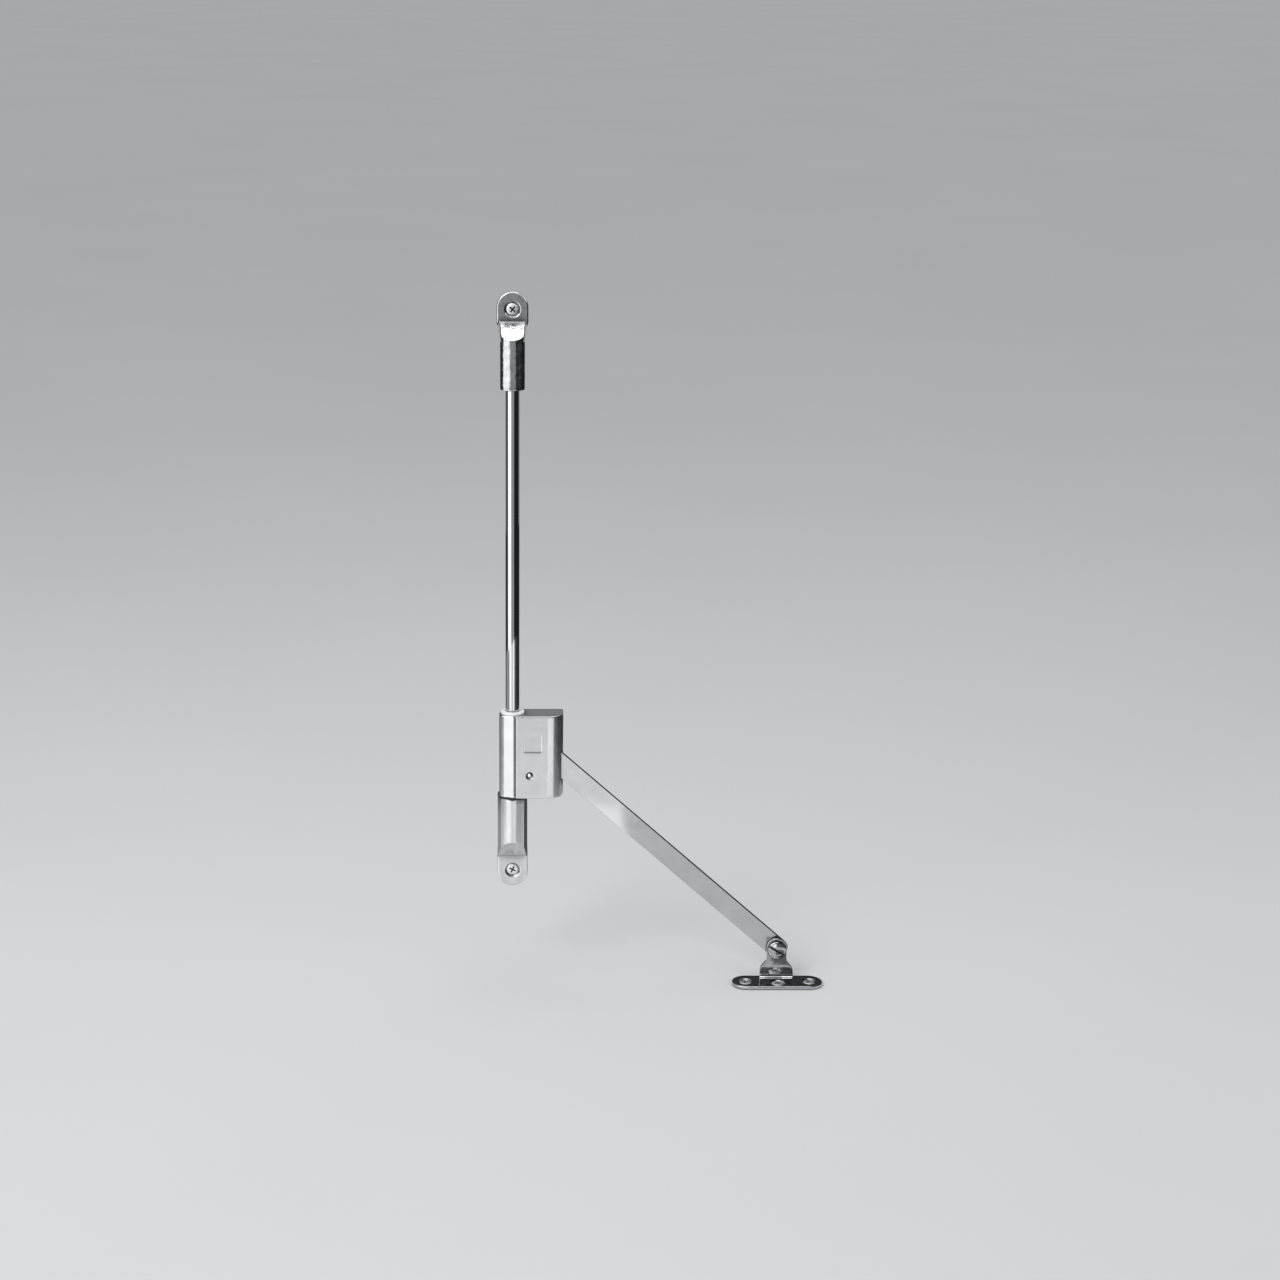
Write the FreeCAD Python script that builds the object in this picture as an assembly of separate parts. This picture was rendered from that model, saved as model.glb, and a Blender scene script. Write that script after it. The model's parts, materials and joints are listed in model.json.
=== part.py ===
# Stay for a cabinet flap: a braked housing slides on an upright guide rod, and a flat arm
# joins it to a foot plate on the flap. Millimetres; +X right, +Y into the wall, +Z up.
# The origin is on the wall plane, midway between the screws of the two wall brackets.
import FreeCAD, Part
import math
import os
from FreeCAD import Vector

os.makedirs("parts", exist_ok=True)

# Guide rod, parallel to the wall
ROD_R = 4.0
ROD_Y = -9.0
RUNNING_GAP = 0.05
SOCKET_DEPTH = 24.0

# Wall brackets
SCREW_Z = 168.0
PAD_WIDTH = 18.0
PAD_THICK = 3.0
PAD_BEYOND_SCREW = 10.0
TOP_BARREL_END = 124.0
TOP_RAMP_FOOT = 161.0
TOP_RAMP_RISE = 8.5
TOP_BASE_HALF = 7.0
TOP_FRONT_HALF = 7.0
LOW_BARREL_END = -119.2
LOW_RAMP_FOOT = -159.5
LOW_RAMP_RISE = -13.5
LOW_BASE_HALF = 8.9
LOW_FRONT_HALF = 6.2
BARREL_FRONT = -16.0
BARREL_CORNER = 4.5
BARREL_EDGE = 0.5
CAST_EDGE = 0.8

# Countersunk wood screws
HEAD_R = 3.8
HEAD_LIP = 0.25
HEAD_SUNK = 0.6
SHANK_R = 2.0
NECK_R = 1.7
SCREW_HOLE_R = 2.3
SINK_R = 4.7

# Sliding housing
BUFFER_THICK = 1.0
HOUSING_BOTTOM = LOW_BARREL_END + BUFFER_THICK + 0.2
HOUSING_TOP = -67.5
HOUSING_R = 7.7
HOUSING_RIGHT = 29.7
HOUSING_FRONT = -17.4
HOUSING_BACK = -1.3
TUBE_FACET_X = 1.0
TUBE_FACET_Y = -16.95
TUBE_FACET_LEAN = 19.3
TUBE_CORNER_R = 4.6
FACE_LEFT = 1.9
GROOVE_WIDE = 0.9
GROOVE_DEEP = 0.7
NOSE_FACET_X = 20.6
NOSE_FACET_LEAN = 10.2
NOSE_R = 7.5
BACK_CORNER_R = 1.2
WALL = 1.8
COVER_THICK = 1.2
COVER_FRONT = HOUSING_BACK - COVER_THICK
CAVITY_LEFT = 7.0
CAVITY_RIGHT = HOUSING_RIGHT - 2.0
CAVITY_NOSE_R = 6.0
CAVITY_FRONT = HOUSING_FRONT + WALL
CAVITY_BOTTOM = HOUSING_BOTTOM + 2.0
CAVITY_TOP = HOUSING_TOP - 2.0
BUSH_R = 5.5
UPPER_BUSH_LONG = 11.0
LOWER_BUSH_LONG = 8.4
FLANGE_R = 7.0
FLANGE_THICK = 1.5
RIVET_PLACES = [(9.6, -73.0), (24.8, -73.0), (9.2, -113.4)]
RIVET_R = 1.2
RIVET_HEAD_R = 2.1
RIVET_HEAD_THICK = 0.7
RIVET_DEEP = 11.0
POST_R = 2.3
COVER_LEFT = 4.6
COVER_INSET = 1.3
COVER_CORNER_R = 1.5
BADGE_LEFT = 6.4
BADGE_LOW = -89.6
BADGE_SIDE = 10.8
BADGE_DEEP = 0.25
PIN_SINK_R = 2.3
PIN_SINK_DEEP = 0.7

# Arm: a flat strip that leans from the housing pivot down to the foot pivot
ARM_PIVOT = Vector(18.0, 0, -89.2)
FOOT_PIVOT = Vector(158.0, 0, -214.0)
ARM_FRONT = -13.0
ARM_BACK = -10.0
ARM_HALF = 6.0
ARM_PAST_FOOT = 5.5
ARM_CORNER = 3.0
ARM_PIN_R = 2.0
ARM_EDGE = 0.25
SLOT_SPARE = 0.25
SLOT_ABOVE_PIVOT = 2.7

# Brake inside the housing
BRAKE_PIN_X = 10.05
BRAKE_PIN_Z = -103.8
BRAKE_PIN_R = 1.3
BRAKE_FRONT = -9.6
BRAKE_THICK = 3.2
CAM_R = 3.1
CAM_OFFSET = Vector(-0.8, 0, 0.5)
CAM_TAIL_LEFT = 9.0
CAM_TAIL_TOP = -95.5
SPRING_THICK = 0.3
SPRING_TOP = -70.5
SPRING_BEND = -78.0
SHOE_BOTTOM = -109.0
SHOE_TOP = -97.0
SHOE_FRONT = 2.0
SHOE_BACK = 6.0
SHOE_HALF = 3.2
SHOE_SPARE = 0.4

# Foot: a plate on the flap with an ear bent up from its rear edge
PLATE_TOP = -231.6
SHEET = 2.2
PLATE_LONG = 54.0
PLATE_DEEP = 17.0
EAR_BACK = -13.2
EAR_HALF = 6.0
EAR_TOP = -207.0
ROOT_HALF = 10.0
BEND_INNER_R = 2.0
SHOULDER_LOW = -226.2
SHOULDER_HIGH = -221.0
SHOULDER_CORNER_R = 4.0
FOOT_SCREW_HALF = 19.0
MID_SCREW_FORWARD = 2.2
FOOT_HEAD_R = 3.6
FOOT_SINK_R = 4.2
SHOULDER_R = 3.0
THREAD_R = 2.5
PIVOT_HEAD_R = 5.2
PIVOT_HEAD_THICK = 2.7
PIVOT_SLOT_LEAN = -31.0
PIVOT_SLOT_WIDE = 1.2
PIVOT_SLOT_DEEP = 1.3
PIVOT_WASHER_R = 5.0
PIVOT_WASHER_THICK = 0.8
NUT_ACROSS_FLATS = 8.0
NUT_THICK = 3.4


def rounded(corners):
    """Closed wire through corners (x, y, radius) in the XY plane; a radius rounds its corner."""
    points = [Vector(x, y, 0) for x, y, _ in corners]
    pieces = []
    for i, corner in enumerate(corners):
        here = points[i]
        before = (points[i - 1] - here).normalize()
        after = (points[(i + 1) % len(points)] - here).normalize()
        if corner[2] == 0:
            pieces.append((here, None, here))
            continue
        half = before.getAngle(after) / 2
        reach = corner[2] / math.tan(half)
        towards = (before + after).normalize()
        middle = here + towards * (corner[2] / math.sin(half) - corner[2])
        pieces.append((here + before * reach, middle, here + after * reach))
    edges = []
    for i, (start, middle, end) in enumerate(pieces):
        if middle is not None:
            edges.append(Part.Arc(start, middle, end).toShape())
        onward = pieces[(i + 1) % len(pieces)][0]
        if end.distanceToPoint(onward) > 1e-6:
            edges.append(Part.LineSegment(end, onward).toShape())
    return Part.Wire(edges)


def flat(corners, low, high):
    """Outline seen from above, from height low to height high."""
    face = Part.Face(rounded(corners))
    face.translate(Vector(0, 0, low))
    return face.extrude(Vector(0, 0, high - low))


def upright(corners, back, front):
    """Outline seen from the front as (x, z), from depth back to the nearer depth front."""
    face = Part.Face(rounded(corners))
    face.rotate(Vector(), Vector(1, 0, 0), 90)
    face.translate(Vector(0, back, 0))
    return face.extrude(Vector(0, front - back, 0))


def turned_about_y(corners, x, z):
    """Turned piece whose axis runs front to back; corners are (radius, y, rounding)."""
    face = Part.Face(rounded(corners))
    solid = face.revolve(Vector(), Vector(0, 1, 0), 360)
    solid.translate(Vector(x, 0, z))
    return solid


def turned_about_z(corners, x, y):
    """Turned piece with an upright axis; corners are (radius, z, rounding)."""
    face = Part.Face(rounded(corners))
    face.rotate(Vector(), Vector(1, 0, 0), 90)
    solid = face.revolve(Vector(), Vector(0, 0, 1), 360)
    solid.translate(Vector(x, y, 0))
    return solid


def ring_about_y(inner, outer, back, front, x, z):
    corners = [(inner, back, 0), (outer, back, 0), (outer, front, 0), (inner, front, 0)]
    return turned_about_y(corners, x, z)


def rod_y(radius, back, front, x, z):
    return Part.makeCylinder(radius, back - front, Vector(x, front, z), Vector(0, 1, 0))


def rod_z(radius, low, high, x, y):
    return Part.makeCylinder(radius, high - low, Vector(x, y, low))


def countersink(x, z):
    """Screw hole and its cone in a wall bracket's pad."""
    cone = Part.makeCone(SINK_R, SCREW_HOLE_R, SINK_R - SCREW_HOLE_R,
                         Vector(x, -PAD_THICK, z), Vector(0, 1, 0))
    return cone.fuse(rod_y(SCREW_HOLE_R, 1, -PAD_THICK - 1, x, z))


def barrel_section(base_half, front_half, z, grow):
    """Cross-section of a bracket's barrel at height z, grow times its plain width."""
    wire = rounded([(-base_half * grow, 0, 0), (base_half * grow, 0, 0),
                    (front_half * grow, BARREL_FRONT, BARREL_CORNER),
                    (-front_half * grow, BARREL_FRONT, BARREL_CORNER)])
    wire.translate(Vector(0, 0, z))
    return wire


def bracket(barrel_end, ramp_foot, ramp_rise, base_half, front_half):
    """Die-cast bracket: a round-ended pad, a ramp, and a barrel that takes the rod's end."""
    side = math.copysign(1, ramp_foot)
    ramp_head = ramp_foot - ramp_rise
    pad_end = side * (SCREW_Z + PAD_BEYOND_SCREW)
    half = PAD_WIDTH / 2
    pad = upright([(-half, ramp_foot, 0), (-half, pad_end, half),
                   (half, pad_end, half), (half, ramp_foot, 0)], 0, -PAD_THICK)
    rim = [e for e in pad.Edges if e.BoundBox.YMax < 0.01 - PAD_THICK and e.BoundBox.ZLength > 1]
    pad = pad.makeFillet(CAST_EDGE, rim)
    straight = Part.makeLoft([barrel_section(base_half, front_half, z, 1) for z in (barrel_end, ramp_head)],
                             True, True)
    mouth = [e for e in straight.Edges
             if abs(e.BoundBox.ZMin - barrel_end) + abs(e.BoundBox.ZMax - barrel_end) < 0.01]
    straight = straight.makeFillet(BARREL_EDGE, mouth)
    flared = Part.makeLoft([barrel_section(base_half, front_half, ramp_head, 1),
                            barrel_section(base_half, front_half, ramp_foot, half / base_half)], True, True)
    ramp_deep = -PAD_THICK - BARREL_FRONT
    over = [Vector(-20, -PAD_THICK, ramp_foot), Vector(-20, BARREL_FRONT - ramp_deep, ramp_head - ramp_rise),
            Vector(-20, BARREL_FRONT - ramp_deep, pad_end), Vector(-20, -PAD_THICK, pad_end)]
    above_ramp = Part.Face(Part.makePolygon(over + over[:1])).extrude(Vector(40, 0, 0))
    body = straight.fuse(flared).cut(above_ramp).fuse(pad).removeSplitter()
    blind = barrel_end + side * SOCKET_DEPTH
    socket = rod_z(ROD_R + RUNNING_GAP, min(barrel_end, blind), max(barrel_end, blind), 0, ROD_Y)
    return body.cut(socket).cut(countersink(0, side * SCREW_Z))


def cross_recess(top_y, x, z):
    """Cross recess of a screw head that faces the viewer, narrowing with depth."""
    reach = 2.1
    arm_wide = 0.8
    deep = 1.9
    point = Part.makeCone(reach, 0.3, deep, Vector(x, top_y, z), Vector(0, 1, 0))
    across = Part.makeBox(2 * reach, deep, arm_wide, Vector(x - reach, top_y, z - arm_wide / 2))
    along = Part.makeBox(arm_wide, deep, 2 * reach, Vector(x - arm_wide / 2, top_y, z - reach))
    cross = across.fuse(along)
    cross.rotate(Vector(x, 0, z), Vector(0, 1, 0), 40)
    return cross.common(point)


def wall_screw(head_r, top_y, tip_y, thread_from, x, z):
    """Countersunk wood screw with its head towards the viewer and its thread from thread_from on."""
    lip_y = top_y + HEAD_LIP
    cone_end = lip_y + head_r - NECK_R
    corners = [(0, top_y, 0), (head_r, top_y, 0), (head_r, lip_y, 0), (NECK_R, cone_end, 0),
               (NECK_R, thread_from, 0), (SHANK_R, thread_from, 0), (SHANK_R, tip_y - 3, 0), (0, tip_y, 0)]
    return turned_about_y(corners, x, z).cut(cross_recess(top_y, x, z))


def bracket_screws():
    top_y = -PAD_THICK + HEAD_SUNK
    return Part.makeCompound([wall_screw(HEAD_R, top_y, 17.0, 0.3, 0, z) for z in (SCREW_Z, -SCREW_Z)])


def guide_rod():
    low = LOW_BARREL_END - SOCKET_DEPTH + 0.5
    high = TOP_BARREL_END + SOCKET_DEPTH - 0.5
    chamfer = 0.5
    corners = [(0, low, 0), (ROD_R - chamfer, low, 0), (ROD_R, low + chamfer, 0),
               (ROD_R, high - chamfer, 0), (ROD_R - chamfer, high, 0), (0, high, 0)]
    return turned_about_z(corners, 0, ROD_Y)


def stop_buffer():
    """Rubber ring on the lower bracket, which the housing comes to rest on."""
    inner = ROD_R + 0.3
    outer = 7.2
    top = LOW_BARREL_END + BUFFER_THICK
    corners = [(inner, LOW_BARREL_END, 0), (outer, LOW_BARREL_END, 0.2), (outer, top, 0.3), (inner, top, 0)]
    return turned_about_z(corners, 0, ROD_Y)


def housing_outside():
    """Tube about the rod and box beside it, with a facet at each end of the face and a groove."""
    tube_side_y = TUBE_FACET_Y + (TUBE_FACET_X + HOUSING_R) * math.tan(math.radians(TUBE_FACET_LEAN))
    nose_y = HOUSING_FRONT + (HOUSING_RIGHT - NOSE_FACET_X) * math.tan(math.radians(NOSE_FACET_LEAN))
    outline = [(-HOUSING_R, HOUSING_BACK, HOUSING_R), (-HOUSING_R, tube_side_y, TUBE_CORNER_R),
               (TUBE_FACET_X, TUBE_FACET_Y, 0), (FACE_LEFT, HOUSING_FRONT, 0),
               (NOSE_FACET_X, HOUSING_FRONT, 0), (HOUSING_RIGHT, nose_y, NOSE_R),
               (HOUSING_RIGHT, HOUSING_BACK, BACK_CORNER_R)]
    outside = flat(outline, HOUSING_BOTTOM, HOUSING_TOP)
    ends = [e for e in outside.Edges if e.BoundBox.ZLength < 0.01]
    outside = outside.makeFillet(CAST_EDGE / 2, ends)
    groove_left = FACE_LEFT - GROOVE_WIDE
    groove_back = TUBE_FACET_Y + GROOVE_DEEP
    groove = flat([(groove_left, groove_back, 0), (groove_left, HOUSING_FRONT - 1, 0),
                   (FACE_LEFT, HOUSING_FRONT - 1, 0), (FACE_LEFT, groove_back, 0)],
                  HOUSING_BOTTOM - 1, HOUSING_TOP + 1)
    return outside.cut(groove)


def housing_inside():
    """Everything that is hollow in the housing: cavity, rod bore, brake window and arm slot."""
    cavity = flat([(CAVITY_LEFT, CAVITY_FRONT, 1), (CAVITY_RIGHT, CAVITY_FRONT, CAVITY_NOSE_R),
                   (CAVITY_RIGHT, COVER_FRONT, 0.5), (CAVITY_LEFT, COVER_FRONT, 0.5)],
                  CAVITY_BOTTOM, CAVITY_TOP)
    for x, z in RIVET_PLACES:
        cavity = cavity.cut(rod_y(POST_R, 0, HOUSING_FRONT, x, z))
    cover_seat = upright(cover_outline(0), 0, COVER_FRONT)
    bore = rod_z(BUSH_R, HOUSING_BOTTOM - 1, HOUSING_TOP + 1, 0, ROD_Y)
    flange_seat = rod_z(BUSH_R + 1, HOUSING_BOTTOM - 1, HOUSING_BOTTOM + 1, 0, ROD_Y)
    window_half = SHOE_HALF + SHOE_SPARE
    window = Part.makeBox(CAVITY_LEFT + 1, 2 * window_half, SHOE_TOP - SHOE_BOTTOM + 2 * SHOE_SPARE,
                          Vector(0, ROD_Y - window_half, SHOE_BOTTOM - SHOE_SPARE))
    slot_top = ARM_PIVOT.z + SLOT_ABOVE_PIVOT
    slot_left = ARM_PIVOT.x - ARM_HALF - 0.4
    slot = Part.makeBox(HOUSING_RIGHT + 2 - slot_left, ARM_BACK - ARM_FRONT + 2 * SLOT_SPARE,
                        slot_top - HOUSING_BOTTOM + 1,
                        Vector(slot_left, ARM_FRONT - SLOT_SPARE, HOUSING_BOTTOM - 1))
    return cavity.multiFuse([cover_seat, bore, flange_seat, window, slot])


def cover_outline(spare):
    left = COVER_LEFT + spare
    right = HOUSING_RIGHT - COVER_INSET - spare
    low = HOUSING_BOTTOM + COVER_INSET + spare
    high = HOUSING_TOP - COVER_INSET - spare
    return [(x, z, COVER_CORNER_R) for x, z in ((left, low), (right, low), (right, high), (left, high))]


def blank_badge():
    """Shallow plain square recess on the front face."""
    right = BADGE_LEFT + BADGE_SIDE
    high = BADGE_LOW + BADGE_SIDE
    corners = [(BADGE_LEFT, BADGE_LOW, 1), (right, BADGE_LOW, 1), (right, high, 1), (BADGE_LEFT, high, 1)]
    return upright(corners, HOUSING_FRONT + BADGE_DEEP, HOUSING_FRONT - 1)


def pin_holes(front):
    """Holes of the arm pivot pin and the brake pin, from the back as far as front."""
    return [rod_y(ARM_PIN_R, 0, front, ARM_PIVOT.x, ARM_PIVOT.z),
            rod_y(BRAKE_PIN_R, 0, front, BRAKE_PIN_X, BRAKE_PIN_Z)]


def housing_body():
    body = housing_outside().cut(housing_inside())
    holes = [rod_y(RIVET_R, 0, -RIVET_DEEP - 1, x, z) for x, z in RIVET_PLACES]
    holes += pin_holes(CAVITY_FRONT - 1)
    holes.append(rod_y(BRAKE_PIN_R, 0, HOUSING_FRONT - 1, BRAKE_PIN_X, BRAKE_PIN_Z))
    pin_sink = HOUSING_FRONT + PIN_SINK_DEEP
    holes.append(rod_y(PIN_SINK_R, pin_sink, HOUSING_FRONT - 1, BRAKE_PIN_X, BRAKE_PIN_Z))
    return body.cut(holes).cut(blank_badge())


def housing_back_cover():
    cover = upright(cover_outline(RUNNING_GAP), HOUSING_BACK, COVER_FRONT)
    tube_inside = rod_z(HOUSING_R - WALL + 0.4, HOUSING_BOTTOM, HOUSING_TOP, 0, ROD_Y)
    cover = cover.cut(tube_inside)
    holes = [rod_y(RIVET_R, 0, COVER_FRONT - 1, x, z) for x, z in RIVET_PLACES]
    return cover.cut(holes + pin_holes(COVER_FRONT - 1))


def cover_rivets():
    """Domed rivets that hold the back cover to the housing's posts."""
    head_y = HOUSING_BACK + RIVET_HEAD_THICK
    corners = [(0, head_y, 0), (RIVET_HEAD_R, head_y, 0.4), (RIVET_HEAD_R, HOUSING_BACK, 0),
               (RIVET_R, HOUSING_BACK, 0), (RIVET_R, -RIVET_DEEP, 0), (0, -RIVET_DEEP, 0)]
    return Part.makeCompound([turned_about_y(corners, x, z) for x, z in RIVET_PLACES])


def upper_guide_bush():
    low = HOUSING_TOP - UPPER_BUSH_LONG
    high = HOUSING_TOP + FLANGE_THICK
    inner = ROD_R + RUNNING_GAP
    corners = [(inner, low, 0), (BUSH_R, low, 0), (BUSH_R, HOUSING_TOP, 0), (FLANGE_R, HOUSING_TOP, 0),
               (FLANGE_R, high, 0.7), (inner, high, 0)]
    return turned_about_z(corners, 0, ROD_Y)


def lower_guide_bush():
    high = HOUSING_BOTTOM + LOWER_BUSH_LONG
    shoulder = HOUSING_BOTTOM + 1
    inner = ROD_R + RUNNING_GAP
    corners = [(inner, HOUSING_BOTTOM, 0), (BUSH_R + 1, HOUSING_BOTTOM, 0), (BUSH_R + 1, shoulder, 0),
               (BUSH_R, shoulder, 0), (BUSH_R, high, 0), (inner, high, 0)]
    return turned_about_z(corners, 0, ROD_Y)


def arm_pivot_pin():
    return rod_y(ARM_PIN_R, HOUSING_BACK, CAVITY_FRONT - 1, ARM_PIVOT.x, ARM_PIVOT.z)


def arm_front_washer():
    return ring_about_y(ARM_PIN_R, 3.6, ARM_FRONT - RUNNING_GAP, CAVITY_FRONT, ARM_PIVOT.x, ARM_PIVOT.z)


def arm_spacer():
    return ring_about_y(ARM_PIN_R, 4.0, COVER_FRONT, ARM_BACK + RUNNING_GAP, ARM_PIVOT.x, ARM_PIVOT.z)


def brake_pin():
    """Pin of the brake cam, riveted over in a counterbore of the housing's face."""
    front = HOUSING_FRONT - 0.1
    corners = [(0, HOUSING_BACK, 0), (BRAKE_PIN_R, HOUSING_BACK, 0),
               (BRAKE_PIN_R, front, 0.3), (0, front, 0)]
    return turned_about_y(corners, BRAKE_PIN_X, BRAKE_PIN_Z)


def brake_shoe():
    """Plastic block that the cam presses against the rod."""
    block = Part.makeBox(SHOE_BACK - SHOE_FRONT, 2 * SHOE_HALF, SHOE_TOP - SHOE_BOTTOM,
                         Vector(SHOE_FRONT, ROD_Y - SHOE_HALF, SHOE_BOTTOM))
    return block.cut(rod_z(ROD_R + RUNNING_GAP, SHOE_BOTTOM - 1, SHOE_TOP + 1, 0, ROD_Y))


def brake_cam():
    """Eccentric disc with a tail that the leaf spring bears on."""
    back = BRAKE_FRONT + BRAKE_THICK
    disc = rod_y(CAM_R, back, BRAKE_FRONT, BRAKE_PIN_X + CAM_OFFSET.x, BRAKE_PIN_Z + CAM_OFFSET.z)
    tail = upright([(CAM_TAIL_LEFT, BRAKE_PIN_Z, 0), (CAM_TAIL_LEFT + 2.4, BRAKE_PIN_Z, 0),
                    (CAM_TAIL_LEFT + 2.2, CAM_TAIL_TOP, 0.8), (CAM_TAIL_LEFT, CAM_TAIL_TOP, 0.6)],
                   back, BRAKE_FRONT)
    hole = rod_y(BRAKE_PIN_R + RUNNING_GAP, 0, -20, BRAKE_PIN_X, BRAKE_PIN_Z)
    return disc.fuse(tail).removeSplitter().cut(hole)


def brake_spring():
    """Leaf spring from the top left post down to the cam's tail."""
    low = CAM_TAIL_TOP - 1
    right = CAM_TAIL_LEFT - 0.15
    corners = [(CAVITY_LEFT, SPRING_TOP, 0), (CAVITY_LEFT + SPRING_THICK, SPRING_TOP, 0),
               (CAVITY_LEFT + SPRING_THICK, SPRING_BEND, 6), (right, low, 0),
               (right - SPRING_THICK, low, 0), (CAVITY_LEFT, SPRING_BEND, 6)]
    return upright(corners, BRAKE_FRONT + BRAKE_THICK - 0.3, BRAKE_FRONT + 0.3)


def strap_arm():
    """Flat arm, drawn level from its housing pivot and then leaned to meet the foot pivot."""
    reach = FOOT_PIVOT - ARM_PIVOT
    end = reach.Length + ARM_PAST_FOOT
    strip = upright([(-ARM_HALF, -ARM_HALF, ARM_HALF), (end, -ARM_HALF, ARM_CORNER),
                     (end, ARM_HALF, ARM_CORNER), (-ARM_HALF, ARM_HALF, ARM_HALF)], ARM_BACK, ARM_FRONT)
    strip = strip.makeFillet(ARM_EDGE, [e for e in strip.Edges if e.BoundBox.YLength < 0.01])
    pivot_hole = rod_y(ARM_PIN_R + RUNNING_GAP, 0, -20, 0, 0)
    screw_hole = rod_y(THREAD_R, 0, -20, reach.Length, 0)
    strip = strip.cut([pivot_hole, screw_hole])
    lean = math.degrees(math.atan2(-reach.z, reach.x))
    strip.rotate(Vector(), Vector(0, 1, 0), lean)
    strip.translate(ARM_PIVOT)
    return strip


def foot_bracket():
    """Stadium plate and the ear that is bent up from its rear edge."""
    x = FOOT_PIVOT.x
    front = EAR_BACK - PLATE_DEEP
    plate_low = PLATE_TOP - SHEET
    half = PLATE_LONG / 2
    ear_front = EAR_BACK - SHEET
    bend_r = BEND_INNER_R + SHEET
    round_end = PLATE_DEEP / 2
    plate = flat([(x - half, EAR_BACK, round_end), (x - half, front, round_end),
                  (x + half, front, round_end), (x + half, EAR_BACK, round_end)], plate_low, PLATE_TOP)
    plate = plate.makeFillet(0.4, [e for e in plate.Edges if e.BoundBox.ZMin > PLATE_TOP - 0.01])
    root = Part.makeBox(2 * ROOT_HALF, bend_r, 2 * SHEET,
                        Vector(x - ROOT_HALF, EAR_BACK - bend_r, plate_low - SHEET / 2))
    plate = plate.cut(root)
    section = Part.Face(rounded([(EAR_BACK, EAR_TOP, 0), (EAR_BACK, plate_low, bend_r),
                                 (EAR_BACK - bend_r - 1, plate_low, 0),
                                 (EAR_BACK - bend_r - 1, PLATE_TOP, 0),
                                 (ear_front, PLATE_TOP, BEND_INNER_R), (ear_front, EAR_TOP, 0)]))
    section.rotate(Vector(), Vector(1, 1, 1), 120)
    section.translate(Vector(x - ROOT_HALF, 0, 0))
    bent = section.extrude(Vector(2 * ROOT_HALF, 0, 0))
    right_side = [(ROOT_HALF, plate_low - 1, 0), (ROOT_HALF, SHOULDER_LOW, SHOULDER_CORNER_R),
                  (EAR_HALF, SHOULDER_HIGH, SHOULDER_CORNER_R), (EAR_HALF, EAR_TOP, EAR_HALF)]
    both_sides = right_side + [(-out, z, radius) for out, z, radius in reversed(right_side)]
    outline = upright([(x + out, z, radius) for out, z, radius in both_sides], EAR_BACK + 1, EAR_BACK - 9)
    ear = bent.common(outline)
    body = plate.fuse(ear).removeSplitter()
    holes = [rod_y(SHOULDER_R + RUNNING_GAP, 0, -40, x, FOOT_PIVOT.z)]
    for screw_x, screw_y in foot_screw_places():
        holes.append(rod_z(SCREW_HOLE_R, plate_low - 1, PLATE_TOP, screw_x, screw_y))
        holes.append(Part.makeCone(SCREW_HOLE_R, FOOT_SINK_R, FOOT_SINK_R - SCREW_HOLE_R,
                                   Vector(screw_x, screw_y, PLATE_TOP - FOOT_SINK_R + SCREW_HOLE_R)))
    return body.cut(holes)


def foot_screw_places():
    x = FOOT_PIVOT.x
    y = EAR_BACK - PLATE_DEEP / 2 - 0.6
    return [(x - FOOT_SCREW_HALF, y), (x, y - MID_SCREW_FORWARD), (x + FOOT_SCREW_HALF, y)]


def foot_screws():
    """Countersunk screws that point down into the flap, made level and then turned upright."""
    top = PLATE_TOP - 0.05
    neck_end = SHEET + 0.3
    screws = []
    for x, y in foot_screw_places():
        screw = wall_screw(FOOT_HEAD_R, 0, neck_end + 12.0, neck_end, 0, 0)
        screw.rotate(Vector(), Vector(1, 0, 0), -90)
        screw.translate(Vector(x, y, top))
        screws.append(screw)
    return Part.makeCompound(screws)


def foot_pivot_screw():
    """Slotted shoulder screw: the ear turns on its shoulder and the arm is clamped behind it."""
    under_head = EAR_BACK - SHEET - 0.1
    top = under_head - PIVOT_HEAD_THICK
    thread_end = ARM_BACK + PIVOT_WASHER_THICK + NUT_THICK + 0.5
    corners = [(0, top, 0), (PIVOT_HEAD_R, top, 1.6), (PIVOT_HEAD_R, under_head, 0.3),
               (SHOULDER_R, under_head, 0), (SHOULDER_R, ARM_FRONT, 0), (THREAD_R, ARM_FRONT, 0),
               (THREAD_R, thread_end, 0.4), (0, thread_end, 0)]
    screw = turned_about_y(corners, 0, 0)
    slot = Part.makeBox(4 * PIVOT_HEAD_R, PIVOT_SLOT_DEEP, PIVOT_SLOT_WIDE,
                        Vector(-2 * PIVOT_HEAD_R, top, -PIVOT_SLOT_WIDE / 2))
    slot.rotate(Vector(), Vector(0, 1, 0), -PIVOT_SLOT_LEAN)
    screw = screw.cut(slot)
    screw.translate(FOOT_PIVOT)
    return screw


def foot_pivot_washer():
    back = ARM_BACK + PIVOT_WASHER_THICK
    return ring_about_y(THREAD_R, PIVOT_WASHER_R, back, ARM_BACK, FOOT_PIVOT.x, FOOT_PIVOT.z)


def foot_pivot_nut():
    """Hexagon nut behind the washer."""
    corner_r = NUT_ACROSS_FLATS / 2 / math.cos(math.radians(30))
    ring = []
    for i in range(6):
        turn = math.radians(60 * i)
        ring.append((FOOT_PIVOT.x + corner_r * math.cos(turn), FOOT_PIVOT.z + corner_r * math.sin(turn), 0))
    front = ARM_BACK + PIVOT_WASHER_THICK
    nut = upright(ring, front + NUT_THICK, front)
    return nut.cut(rod_y(THREAD_R, 0, -20, FOOT_PIVOT.x, FOOT_PIVOT.z))


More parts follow.
